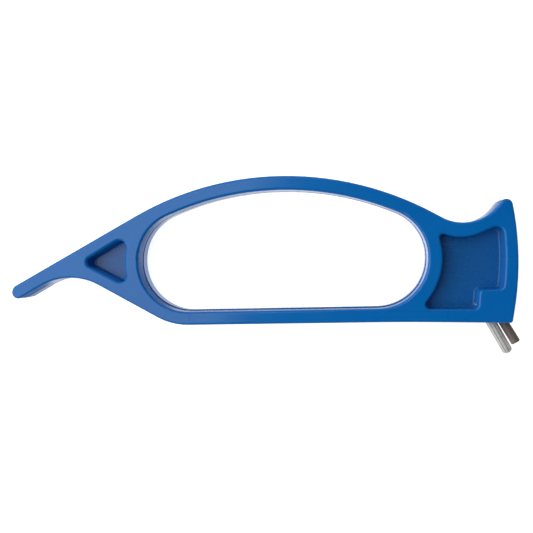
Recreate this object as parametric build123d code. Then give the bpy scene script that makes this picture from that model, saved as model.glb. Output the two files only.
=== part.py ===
from build123d import *
import math
import os

# Hand-held draw sharpener, lying flat on one side of its handle.
# X runs along the handle (tail at -X, pins at +X), Y from the guard bar up to the
# knuckle arch, Z through the thickness. Millimetres.

# Handle: one moulding. The mould parts half way up its thickness. The lower core of the finger
# opening has more draft and sits a little towards +Y, which leaves a fine step on the opening's
# wall along the parting line. The outside has none.
THICKNESS = 12.7
FACE_EDGE_RADIUS = 0.8
DRAFT = 1.0
LOWER_CORE_DRAFT = 2.5
LOWER_CORE_OFFSET = 0.12

# Cored pockets, the same from both sides, with a web left between them
POCKET_DEPTH = 5.5
POCKET_DRAFT = 4.0
POCKET_FLOOR_RADIUS = 0.6
TAIL_POCKET_RIM_RADIUS = 1.1
HEAD_POCKET_RIM_RADIUS = 0.8

# Outlines at the two side faces. Each corner is (x, y, radius of the arc that rounds it).
HANDLE_CORNERS = [
    (8.1, 42.9, 99.8),  # knuckle arch
    (68.8, 9.6, 13.5),  # thumb rest
    (79.9, 23.2, 1.95),  # tip of the horn
    (84.0, 2.4, 97.0),  # convex front
    (80.9, -18.3, 0.9),  # front end of the guard bar
    (47.4, -18.3, 900.0),  # slight bow of the guard bar
    (-28.2, -20.1, 21.4),  # rear end of the guard bar
    (-63.0, -1.7, 20.4),  # hollow under the tail
    (-83.6, -13.6, 2.1),  # end of the tail
    (-82.7, -7.9, 2.6),
]
OPENING_CORNERS = [
    (-39.6, 11.9, 16.2),
    (7.7, 31.3, 94.4),
    (55.8, 12.7, 16.0),
    (53.3, -13.8, 16.1),
    (-39.2, -16.1, 16.6),
]
TAIL_POCKET_CORNERS = [
    (-58.75, 0.5, 1.75),
    (-43.3, 9.5, 2.1),
    (-44.0, 0.2, 17.6),
    (-43.0, -7.4, 2.0),
]
HEAD_POCKET_CORNERS = [
    (57.6, 10.6, 1.3),
    (65.4, 7.65, 14.0),
    (77.7, 13.0, 2.2),
    (78.8, 2.1, 76.0),
    (77.9, -7.7, 1.5),
    (70.6, -7.9, 1.2),
    (70.2, -14.0, 1.5),
    (52.7, -14.2, 1.5),
    (61.1, -1.8, 21.0),
]

# Pins: they leave the flat end of the guard bar leaning forward, and cross in a narrow X
# seen from the front. The notch between them is what a blade is drawn through.
PIN_EXIT_Y = -18.3
SIDE_LEAN = 14.0
CROSSING_DEPTH = 2.5
PIN_SEAT = 8.0
PIN_CHAMFER = 0.35
GUIDE_PIN_DIAMETER = 3.2
GUIDE_PIN_EXIT_X = 75.15
GUIDE_PIN_LEAN = 31.5
GUIDE_PIN_REACH = 12.2
CUTTER_PIN_DIAMETER = 2.95
CUTTER_PIN_EXIT_X = 79.2
CUTTER_PIN_LEAN = 29.5
CUTTER_PIN_REACH = 7.95

HALF = THICKNESS / 2


def rounded_outline(corners):
    """Closed face of straight sides whose corners are rounded by tangent arcs."""
    arcs = []
    for i, (x, y, radius) in enumerate(corners):
        corner = Vector(x, y)
        before = (Vector(*corners[i - 1][:2]) - corner).normalized()
        after = (Vector(*corners[(i + 1) % len(corners)][:2]) - corner).normalized()
        half_angle = math.acos(before.dot(after)) / 2
        setback = radius / math.tan(half_angle)
        inward = (before + after).normalized()
        middle = corner + inward * (radius / math.sin(half_angle) - radius)
        arcs.append((corner + before * setback, middle, corner + after * setback))
    edges = []
    for i, (start, middle, end) in enumerate(arcs):
        edges.append(Edge.make_line(arcs[i - 1][2], start))
        edges.append(Edge.make_three_point_arc(start, middle, end))
    face = Face(Wire(edges))
    return face if face.normal_at().Z > 0 else -face


def rim_edges(shape, outline, height, reach=0.5):
    """Edges of the shape at one height that follow an outline."""
    wire = outline.outer_wire().moved(Location((0, 0, height)))
    level = [e for e in shape.edges() if abs(e.bounding_box().min.Z - height) < 0.01]
    level = [e for e in level if abs(e.bounding_box().max.Z - height) < 0.01]
    return [e for e in level if wire.distance_to(e @ 0.5) < reach]


def half_handle(core_draft, core_offset):
    """One half, as the upper: full size at the parting line, drawn in by the draft at the face."""
    outer = rounded_outline(HANDLE_CORNERS)
    opening = rounded_outline(OPENING_CORNERS).moved(Location((0, core_offset, 0)))
    body = extrude(outer.moved(Location((0, 0, HALF))), -HALF, taper=-DRAFT)
    body -= extrude(opening.moved(Location((0, 0, HALF))), -HALF, taper=core_draft)
    body = fillet(rim_edges(body, outer, HALF), FACE_EDGE_RADIUS)
    body = fillet(rim_edges(body, opening, HALF), FACE_EDGE_RADIUS)
    body = cut_pocket(body, TAIL_POCKET_CORNERS, TAIL_POCKET_RIM_RADIUS)
    return cut_pocket(body, HEAD_POCKET_CORNERS, HEAD_POCKET_RIM_RADIUS)


def cut_pocket(body, corners, rim_radius):
    """A cored pocket with drafted walls, a rounded rim and a rounded floor."""
    outline = rounded_outline(corners)
    core = extrude(outline.moved(Location((0, 0, HALF))), -POCKET_DEPTH, taper=POCKET_DRAFT)
    floor = [e for e in core.edges() if e.bounding_box().max.Z < HALF - POCKET_DEPTH + 0.01]
    core = fillet(floor, POCKET_FLOOR_RADIUS)
    body -= core
    return fillet(rim_edges(body, outline, HALF), rim_radius)


def pin_axis(exit_x, forward_lean, side):
    """Point where a pin leaves the guard bar and its direction outwards."""
    lean = math.radians(forward_lean)
    splay = math.radians(SIDE_LEAN)
    exit_point = Vector(exit_x, PIN_EXIT_Y, -side * math.sin(splay) * CROSSING_DEPTH)
    direction = Vector(
        math.sin(lean) * math.cos(splay),
        -math.cos(lean) * math.cos(splay),
        side * math.sin(splay),
    )
    return exit_point, direction


def pin(diameter, exit_x, forward_lean, side, reach):
    """A straight round pin with chamfered ends, seated in the handle."""
    exit_point, direction = pin_axis(exit_x, forward_lean, side)
    start = Plane(origin=exit_point - direction * PIN_SEAT, z_dir=direction)
    body = extrude(start * Circle(diameter / 2), PIN_SEAT + reach)
    return chamfer(body.edges().filter_by(GeomType.CIRCLE), PIN_CHAMFER)


def guide_pin():
    return pin(GUIDE_PIN_DIAMETER, GUIDE_PIN_EXIT_X, GUIDE_PIN_LEAN, -1, GUIDE_PIN_REACH)


def cutter_pin():
    return pin(CUTTER_PIN_DIAMETER, CUTTER_PIN_EXIT_X, CUTTER_PIN_LEAN, 1, CUTTER_PIN_REACH)


def handle():
    upper = half_handle(DRAFT, 0)
    lower = half_handle(LOWER_CORE_DRAFT, LOWER_CORE_OFFSET).mirror(Plane.XY)
    body = upper.fuse(lower)
    for piece in (guide_pin(), cutter_pin()):
        body -= piece
    return body


def main():
    os.makedirs("parts", exist_ok=True)
    nodes = {"handle": handle(), "guide_pin": guide_pin(), "cutter_pin": cutter_pin()}
    box = Compound(children=[Compound(s.solids()) for s in nodes.values()]).bounding_box()
    to_origin = Location((-box.center().X, -box.center().Y, -box.min.Z))
    for name, shape in nodes.items():
        export_step(Compound(shape.moved(to_origin).solids()), f"parts/{name}.step")


main()
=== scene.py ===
import math

import bmesh
import bpy
from mathutils import Matrix, Quaternion, Vector


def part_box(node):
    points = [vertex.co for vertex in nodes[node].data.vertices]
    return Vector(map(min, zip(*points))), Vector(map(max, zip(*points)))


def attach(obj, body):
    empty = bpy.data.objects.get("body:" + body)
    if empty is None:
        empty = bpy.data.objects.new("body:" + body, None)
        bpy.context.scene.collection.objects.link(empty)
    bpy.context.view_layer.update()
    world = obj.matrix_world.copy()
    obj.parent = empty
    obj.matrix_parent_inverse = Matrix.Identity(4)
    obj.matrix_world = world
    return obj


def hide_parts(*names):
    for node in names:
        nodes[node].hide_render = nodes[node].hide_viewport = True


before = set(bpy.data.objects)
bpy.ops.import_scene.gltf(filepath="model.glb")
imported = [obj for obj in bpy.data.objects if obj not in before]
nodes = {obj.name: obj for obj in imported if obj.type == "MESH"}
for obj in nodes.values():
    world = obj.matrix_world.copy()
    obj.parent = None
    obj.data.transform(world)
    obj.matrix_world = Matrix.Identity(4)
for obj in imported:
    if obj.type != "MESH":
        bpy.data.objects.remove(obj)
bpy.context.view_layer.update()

MM = 0.001

# Where things are, from the frame
LOW, HIGH = (Vector(corner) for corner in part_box("handle"))
TOP_Z = HIGH.z

# Camera: above the upper side face, a little towards the pins, aimed at the handle's middle
CAMERA_HEIGHT = 235.3 * MM
CAMERA_FOOT = Vector((26.46 * MM, 4.19 * MM, 0))
CAMERA_TARGET = Vector((2.65 * MM, -0.50 * MM, 0))
FOCAL_LENGTH = 49.37
SENSOR_WIDTH = 36.0

# Guide pin: lengthwise furrows round it, and a well rounded tip
PIN_FURROWS = 9
PIN_FURROW_DEPTH = 0.14 * MM
PIN_FURROW_SHARE = 0.36
PIN_TIP_ROUND = 0.95 * MM


# The pocket floors' painted shade and added roughness are full up to the first distance from the
# middle of the thickness, and gone at the second
POCKET_SHADE_AND_ROUGH_SPAN = (1.6 * MM, 3.2 * MM)

# Painted light: the dark pin is lighter over this length from its tip, out of the handle's shade
TIP_LIGHT_LENGTH = 2.5 * MM


class Nodes:
    """A material's node tree, with short calls for adding and joining nodes."""

    def __init__(self, name):
        self.material = bpy.data.materials.new(name)
        self.material.use_nodes = True
        self.tree = self.material.node_tree
        self.shader = self.tree.nodes["Principled BSDF"]
        self.place = self.add("ShaderNodeTexCoord").outputs["Object"]

    def add(self, kind, inputs=None, **settings):
        node = self.tree.nodes.new(kind)
        for key, value in settings.items():
            setattr(node, key, value)
        for key, value in (inputs or {}).items():
            self.feed(node.inputs[key], value)
        return node

    def feed(self, socket, value):
        if isinstance(value, bpy.types.NodeSocket):
            self.tree.links.new(value, socket)
        else:
            socket.default_value = value

    def math(self, operation, a, b=0.0):
        return self.add("ShaderNodeMath", {0: a, 1: b}, operation=operation).outputs[0]

    def noise(self, scale, detail=3.0, roughness=0.5, vector=None):
        inputs = {"Vector": vector or self.place, "Scale": scale, "Detail": detail, "Roughness": roughness}
        return self.add("ShaderNodeTexNoise", inputs).outputs["Fac"]

    def span(self, value, low, high, to_low=0.0, to_high=1.0, smooth=False):
        kind = "SMOOTHSTEP" if smooth else "LINEAR"
        inputs = {"Value": value, "From Min": low, "From Max": high, "To Min": to_low, "To Max": to_high}
        return self.add("ShaderNodeMapRange", inputs, interpolation_type=kind).outputs["Result"]

    def mix(self, amount, a, b):
        node = self.add("ShaderNodeMix", data_type="RGBA")
        self.feed(node.inputs[0], amount)
        self.feed(node.inputs[6], a)
        self.feed(node.inputs[7], b)
        return node.outputs[2]

    def bump(self, height, distance, strength=1.0, normal=None):
        inputs = {"Height": height, "Distance": distance, "Strength": strength}
        if normal:
            inputs["Normal"] = normal
        return self.add("ShaderNodeBump", inputs).outputs["Normal"]

    def set(self, **inputs):
        for key, value in inputs.items():
            self.feed(self.shader.inputs[key.replace("_", " ")], value)
        return self.material


def colour(red, green, blue):
    return (red, green, blue, 1.0)


# Faint lines on the side faces, taken to be weld lines of the moulding:
# (x, y, half length, direction in degrees), in millimetres
WELD_HALF_WIDTH = 0.16 * MM
WELD_LINES = [
    (-42.0, 4.4, 3.0, 0),
    (-42.0, 1.8, 3.0, 0),
    (-22.6, -17.2, 2.4, 90),
    (60.3, -16.4, 1.9, 90),
    (52.0, -14.6, 13.0, 0),
    (79.0, 2.7, 2.2, 0),
    (55.9, 6.2, 2.2, 0),
    (66.5, -16.3, 3.0, 35),
]


def weld_line_mask(tree):
    """1 on a weld line and 0 away from it, summed over all of them."""
    total = None
    for x, y, half_length, degrees in WELD_LINES:
        mapping = tree.add(
            "ShaderNodeMapping",
            {
                "Vector": tree.place,
                "Location": (x * MM, y * MM, 0),
                "Rotation": (0, 0, math.radians(degrees)),
            },
            vector_type="TEXTURE",
        )
        split = tree.add("ShaderNodeSeparateXYZ", {"Vector": mapping.outputs[0]})
        along = tree.math("ABSOLUTE", split.outputs["X"])
        across = tree.math("ABSOLUTE", split.outputs["Y"])
        ends = tree.span(along, 0.7 * half_length * MM, half_length * MM, 1, 0, smooth=True)
        width = tree.span(across, 0.0, WELD_HALF_WIDTH, 1, 0, smooth=True)
        line = tree.math("MULTIPLY", ends, width)
        total = line if total is None else tree.math("ADD", total, line)
    return total


def pocket_shade_and_rough_mask(tree):
    """Where the pocket floors get painted shade and more roughness: 1 on the level floors of the pockets,
    half way through the thickness, and 0 elsewhere.
    """
    middle = (LOW.z + HIGH.z) / 2
    height = tree.add("ShaderNodeSeparateXYZ", {"Vector": tree.place}).outputs["Z"]
    depth = tree.math("ABSOLUTE", tree.math("SUBTRACT", height, middle))
    deep = tree.span(depth, *POCKET_SHADE_AND_ROUGH_SPAN, 1, 0, smooth=True)
    facing = tree.add("ShaderNodeTexCoord").outputs["Normal"]
    level = tree.math("ABSOLUTE", tree.add("ShaderNodeSeparateXYZ", {"Vector": facing}).outputs["Z"])
    return tree.math("MULTIPLY", deep, tree.span(level, 0.35, 0.85, 0, 1, smooth=True))


def blue_plastic():
    """Satin injection-moulded plastic: deep blue, faintly mottled, with weld lines and fine
    marks. The pocket floors are rougher, and darkened with painted shade."""
    tree = Nodes("blue_plastic")
    mottle = tree.noise(90.0, 4.0, 0.6)
    cloud = tree.noise(28.0, 2.0)
    tint = tree.mix(tree.span(cloud, 0.35, 0.65), colour(0.0004, 0.137, 0.483), colour(0.0006, 0.153, 0.515))
    tint = tree.mix(tree.span(mottle, 0.40, 0.75, 0.0, 0.5), tint, colour(0.0010, 0.161, 0.528))
    weld = weld_line_mask(tree)
    tint = tree.mix(tree.math("MULTIPLY", weld, 0.35), tint, colour(0.006, 0.060, 0.20))
    speck = tree.add("ShaderNodeTexVoronoi", {"Vector": tree.place, "Scale": 170.0, "Randomness": 1.0})
    speck_size = tree.span(speck.outputs["Distance"], 0.018, 0.032, 1.0, 0.0)
    chosen = tree.add("ShaderNodeSeparateXYZ", {"Vector": speck.outputs["Color"]}).outputs["X"]
    dust = tree.math("MULTIPLY", speck_size, tree.math("GREATER_THAN", chosen, 0.86))
    tint = tree.mix(tree.math("MULTIPLY", dust, 0.30), tint, colour(0.16, 0.26, 0.45))
    roughness = tree.span(tree.noise(160.0, 5.0, 0.6), 0.3, 0.7, 0.13, 0.18)
    scuff_place = tree.add(
        "ShaderNodeMapping", {"Vector": tree.place, "Scale": (60.0, 700.0, 60.0), "Rotation": (0, 0, 0.35)}
    ).outputs[0]
    scuff = tree.span(tree.noise(4.0, 6.0, 0.65, scuff_place), 0.62, 0.75)
    roughness = tree.math("ADD", roughness, tree.math("MULTIPLY", scuff, 0.05))
    pocket_shade_and_rough = pocket_shade_and_rough_mask(tree)
    # Painted shade: the pocket floors are darkened, standing in for the shade in the recesses; they are also
    # made rougher
    tint = tree.mix(tree.math("MULTIPLY", pocket_shade_and_rough, 0.55), tint, colour(0.0050, 0.072, 0.235))
    roughness = tree.math("ADD", roughness, tree.math("MULTIPLY", pocket_shade_and_rough, 0.12))
    grain = tree.bump(tree.noise(2600.0, 2.0), 0.004 * MM, 0.5)
    sink = tree.bump(tree.noise(120.0, 2.0), 0.05 * MM, 0.25, grain)
    groove = tree.bump(tree.math("SUBTRACT", 1.0, weld), 0.03 * MM, 0.6, sink)
    return tree.set(Base_Color=tint, Roughness=roughness, IOR=1.49, Normal=groove)


def streaked(tree, axis_scale):
    """Noise drawn out along a pin: the pin's own frame has Z along it."""
    place = tree.add("ShaderNodeMapping", {"Vector": tree.place, "Scale": axis_scale}).outputs[0]
    return tree.noise(1.0, 5.0, 0.65, place)


def bright_steel():
    """Drawn steel: light, with streaks along the pin, and painted shade darkening the furrows."""
    tree = Nodes("bright_steel")
    streak = streaked(tree, (2600.0, 2600.0, 45.0))
    tint = tree.mix(tree.span(streak, 0.35, 0.65), colour(0.62, 0.60, 0.58), colour(0.90, 0.91, 0.87))
    stain = tree.span(tree.noise(420.0, 4.0), 0.52, 0.72, 0.0, 0.35)
    tint = tree.mix(stain, tint, colour(0.30, 0.25, 0.21))
    _, _, length, radius = pin_frame("guide_pin")
    split = tree.add("ShaderNodeSeparateXYZ", {"Vector": tree.place})
    across = tree.math("POWER", split.outputs["X"], 2.0)
    across = tree.math("ADD", across, tree.math("POWER", split.outputs["Y"], 2.0))
    reach = tree.math("SQRT", across)
    furrow_shade = tree.span(reach, radius - PIN_FURROW_DEPTH, radius - 0.15 * PIN_FURROW_DEPTH, 0.9, 0.0)
    shaft = tree.math("LESS_THAN", split.outputs["Z"], length - PIN_TIP_ROUND)
    # Painted shade: the furrow bottoms along the shaft are tinted dark, standing in for the shade in them
    tint = tree.mix(tree.math("MULTIPLY", furrow_shade, shaft), tint, colour(0.055, 0.045, 0.045))
    roughness = tree.span(streak, 0.3, 0.7, 0.58, 0.44)
    normal = tree.bump(streak, 0.012 * MM, 0.5)
    return tree.set(Base_Color=tint, Metallic=0.18, Roughness=roughness, Normal=normal)


def dark_steel():
    """Dark ground metal, brown-grey, with painted light making it a little lighter towards the tip."""
    tree = Nodes("dark_steel")
    grind = tree.noise(1500.0, 5.0, 0.7)
    tint = tree.mix(tree.span(grind, 0.35, 0.65), colour(0.135, 0.104, 0.096), colour(0.165, 0.130, 0.119))
    height = tree.add("ShaderNodeSeparateXYZ", {"Vector": tree.place}).outputs["Y"]
    low_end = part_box("cutter_pin")[0][1]
    # Painted light: lighter towards the tip, standing in for the pin's root being in the handle's shade
    tip_light = tree.span(height, low_end, low_end + TIP_LIGHT_LENGTH, 0.55, 0.0, smooth=True)
    tint = tree.mix(tip_light, tint, colour(0.27, 0.22, 0.20))
    roughness = tree.span(grind, 0.3, 0.7, 0.62, 0.52)
    normal = tree.bump(grind, 0.006 * MM, 0.5)
    return tree.set(Base_Color=tint, Metallic=0.12, Roughness=roughness, Normal=normal)


def pale_floor():
    tree = Nodes("pale_floor")
    fleck = tree.span(tree.noise(40.0, 3.0), 0.3, 0.7)
    tint = tree.mix(fleck, colour(0.68, 0.68, 0.68), colour(0.72, 0.72, 0.72))
    glow = {"Emission_Color": colour(1, 1, 1), "Emission_Strength": 0.88}
    return tree.set(Base_Color=tint, Roughness=0.9, **glow)


def dress(obj, material):
    obj.data.materials.clear()
    obj.data.materials.append(material)


def add_object(name, mesh):
    obj = bpy.data.objects.new(name, mesh)
    bpy.context.scene.collection.objects.link(obj)
    return obj


def pin_frame(node):
    """A round pin's inner end, direction outwards, length and radius, from its own mesh."""
    points = [v.co for v in nodes[node].data.vertices]
    centre = sum(points, Vector()) / len(points)
    outer = max(points, key=lambda p: -p.y)
    inner = max(points, key=lambda p: p.y)
    direction = (outer - inner).normalized()
    for _ in range(3):
        along = [(p - centre).dot(direction) for p in points]
        middle = (min(along) + max(along)) / 2
        ends = [[p for p, a in zip(points, along) if (a > middle) == far] for far in (False, True)]
        near, far = (sum(end, Vector()) / len(end) for end in ends)
        direction = (far - near).normalized()
    along = [(p - near).dot(direction) for p in points]
    radius = max(((p - near).cross(direction)).length for p in points)
    return near + direction * min(along), direction, max(along) - min(along), radius


def furrow_depth(turn):
    """Depth at a place round the pin, counted in furrows: a round-bottomed groove in each."""
    away = abs(turn - round(turn)) / (PIN_FURROW_SHARE / 2)
    return PIN_FURROW_DEPTH * (0.5 + 0.5 * math.cos(math.pi * min(away, 1.0)))


def pin_rings(length, radius):
    """(distance along the pin, radius) of each ring: the shaft and then the rounded tip."""
    shaft = length - PIN_TIP_ROUND
    rings = [(shaft * k / 16, radius) for k in range(17)]
    for k in range(1, 9):
        angle = math.pi / 2 * k / 8
        along = shaft + PIN_TIP_ROUND * math.sin(angle)
        rings.append((along, radius - PIN_TIP_ROUND * (1 - math.cos(angle))))
    return rings


def furrowed_pin(name, start, direction, length, radius):
    """A round pin with lengthwise furrows and a rounded tip, as one closed mesh. Its object
    stands at the inner end with Z along the pin, so that its material can run along it."""
    around = PIN_FURROWS * 24
    mesh = bmesh.new()
    loops = []
    for along, ring_radius in pin_rings(length, radius):
        loop = []
        for k in range(around):
            angle = 2 * math.pi * k / around
            reach = ring_radius - furrow_depth(PIN_FURROWS * k / around) * ring_radius / radius
            loop.append(mesh.verts.new((reach * math.cos(angle), reach * math.sin(angle), along)))
        loops.append(loop)
    for low, high in zip(loops, loops[1:]):
        for k in range(around):
            after = (k + 1) % around
            mesh.faces.new((low[k], low[after], high[after], high[k]))
    mesh.faces.new(loops[0])
    mesh.faces.new(loops[-1])
    bmesh.ops.recalc_face_normals(mesh, faces=mesh.faces)
    for face in mesh.faces:
        face.smooth = len(face.verts) == 4
    data = bpy.data.meshes.new(name)
    mesh.to_mesh(data)
    mesh.free()
    piece = add_object(name, data)
    turn = direction.to_track_quat("Z", "Y").to_matrix().to_4x4()
    piece.matrix_world = Matrix.Translation(start) @ turn
    return piece


def build_guide_pin():
    piece = furrowed_pin("guide_pin_drawn", *pin_frame("guide_pin"))
    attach(piece, "root")
    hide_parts("guide_pin")
    dress(piece, bright_steel())


def build_floor():
    mesh = bmesh.new()
    bmesh.ops.create_grid(mesh, x_segments=8, y_segments=8, size=4.0)
    data = bpy.data.meshes.new("floor")
    mesh.to_mesh(data)
    mesh.free()
    floor = add_object("floor", data)
    dress(floor, pale_floor())
    floor.visible_glossy = False


def build_camera():
    data = bpy.data.cameras.new("camera")
    data.lens = FOCAL_LENGTH
    data.sensor_width = SENSOR_WIDTH
    data.clip_start = 0.01
    camera = bpy.data.objects.new("camera", data)
    bpy.context.scene.collection.objects.link(camera)
    place = Vector((CAMERA_FOOT.x, CAMERA_FOOT.y, TOP_Z + CAMERA_HEIGHT))
    back = (place - Vector((CAMERA_TARGET.x, CAMERA_TARGET.y, TOP_Z))).normalized()
    right = Vector((0, 1, 0)).cross(back).normalized()
    up = back.cross(right)
    camera.matrix_world = Matrix.Translation(place) @ Matrix((right, up, back)).transposed().to_4x4()
    bpy.context.scene.camera = camera


def soft_panel(name, centre, aim, width, height, radiance, spin=0.0, glossy=True):
    """A rectangular soft box of a given radiance, facing a point."""
    data = bpy.data.lights.new(name, "AREA")
    data.shape = "RECTANGLE"
    data.size = width
    data.size_y = height
    data.energy = radiance * math.pi * width * height
    light = bpy.data.objects.new(name, data)
    bpy.context.scene.collection.objects.link(light)
    light.location = centre
    facing = (Vector(aim) - Vector(centre)).to_track_quat("-Z", "Y")
    light.rotation_euler = (facing @ Quaternion((0, 0, 1), math.radians(spin))).to_euler()
    light.visible_glossy = glossy


def ramp_node(tree, value, stops):
    """A colour ramp of greys through (position, grey) stops."""
    ramp = tree.nodes.new("ShaderNodeValToRGB")
    tree.links.new(value, ramp.inputs[0])
    elements = ramp.color_ramp.elements
    elements.remove(elements[1])
    elements[0].position = stops[0][0]
    elements[0].color = (stops[0][1],) * 3 + (1,)
    for position, grey in stops[1:]:
        elements.new(position).color = (grey, grey, grey, 1)
    return ramp.outputs[0]


# Sky: (height, grey), then the side that is brighter and by how much
SKY_STOPS = [(0.0, 0.30), (0.40, 0.30), (0.68, 0.03), (1.0, 0.006)]
SKY_BRIGHT_SIDE = (-0.94, 0.34, 0.0)
SKY_SIDE = (-0.6, 0.7, 0.35, 2.3)
# Below the horizon: (distance from the centre, grey), stretched along Y
GROUND_CENTRE = (-0.12, -0.03)
GROUND_STRETCH = (1.0, 1.5, 0.0)
GROUND_STOPS = [
    (0.0, 1.45),
    (0.15, 1.20),
    (0.22, 0.65),
    (0.28, 0.65),
    (0.33, 1.10),
    (0.39, 1.05),
    (0.42, 0.20),
    (0.60, 0.14),
    (1.0, 0.50),
]


def build_world():
    """A dim studio: a little paler low on the left, dark overhead. Below the horizon, where only
    glossy rays look because the floor hides it from all others, rings of brightness round a
    centre. They stand in for what the walls reflected, and suit the main camera's view only."""
    world = bpy.data.worlds.new("studio")
    bpy.context.scene.world = world
    world.use_nodes = True
    tree = world.node_tree
    place = tree.nodes.new("ShaderNodeTexCoord").outputs["Generated"]
    split = tree.nodes.new("ShaderNodeSeparateXYZ")
    tree.links.new(place, split.inputs[0])
    sky = ramp_node(tree, split.outputs["Z"], SKY_STOPS)
    side = tree.nodes.new("ShaderNodeMapRange")
    towards = tree.nodes.new("ShaderNodeVectorMath")
    towards.operation = "DOT_PRODUCT"
    tree.links.new(place, towards.inputs[0])
    towards.inputs[1].default_value = SKY_BRIGHT_SIDE
    tree.links.new(towards.outputs["Value"], side.inputs["Value"])
    for key, value in zip(("From Min", "From Max", "To Min", "To Max"), SKY_SIDE):
        side.inputs[key].default_value = value
    lit_sky = tree.nodes.new("ShaderNodeVectorMath")
    lit_sky.operation = "SCALE"
    tree.links.new(sky, lit_sky.inputs[0])
    tree.links.new(side.outputs[0], lit_sky.inputs["Scale"])
    aside = tree.nodes.new("ShaderNodeVectorMath")
    aside.operation = "SUBTRACT"
    tree.links.new(place, aside.inputs[0])
    aside.inputs[1].default_value = (*GROUND_CENTRE, 0)
    stretched = tree.nodes.new("ShaderNodeVectorMath")
    stretched.operation = "MULTIPLY"
    tree.links.new(aside.outputs[0], stretched.inputs[0])
    stretched.inputs[1].default_value = GROUND_STRETCH
    distance = tree.nodes.new("ShaderNodeVectorMath")
    distance.operation = "LENGTH"
    tree.links.new(stretched.outputs[0], distance.inputs[0])
    ground = ramp_node(tree, distance.outputs["Value"], GROUND_STOPS)
    above = tree.nodes.new("ShaderNodeMath")
    above.operation = "GREATER_THAN"
    above.inputs[1].default_value = 0.0
    tree.links.new(split.outputs["Z"], above.inputs[0])
    both = tree.nodes.new("ShaderNodeMix")
    both.data_type = "RGBA"
    tree.links.new(above.outputs[0], both.inputs[0])
    tree.links.new(ground, both.inputs[6])
    tree.links.new(lit_sky.outputs[0], both.inputs[7])
    tree.links.new(both.outputs[2], tree.nodes["Background"].inputs["Color"])


def build_lights():
    build_world()
    soft_panel("left_box", (-0.372, 0.04, 0.62), (-0.03, 0.04, 0), 0.95, 0.62, 1.5, spin=-17)
    soft_panel("fill", (-0.45, 0.16, 0.70), (0, 0, 0), 1.30, 1.30, 0.46, glossy=False)
    soft_panel("low_left", (-0.55, 0.28, 0.26), (0, 0, 0), 0.90, 0.50, 0.40, glossy=False)
    soft_panel("top_fill", (0.1, 0.05, 0.90), (0, 0, 0), 1.40, 1.40, 0.26, glossy=False)


def main():
    build_camera()
    dress(nodes["handle"], blue_plastic())
    dress(nodes["cutter_pin"], dark_steel())
    build_guide_pin()
    build_floor()
    build_lights()
    bpy.context.scene.view_settings.view_transform = "Standard"


main()
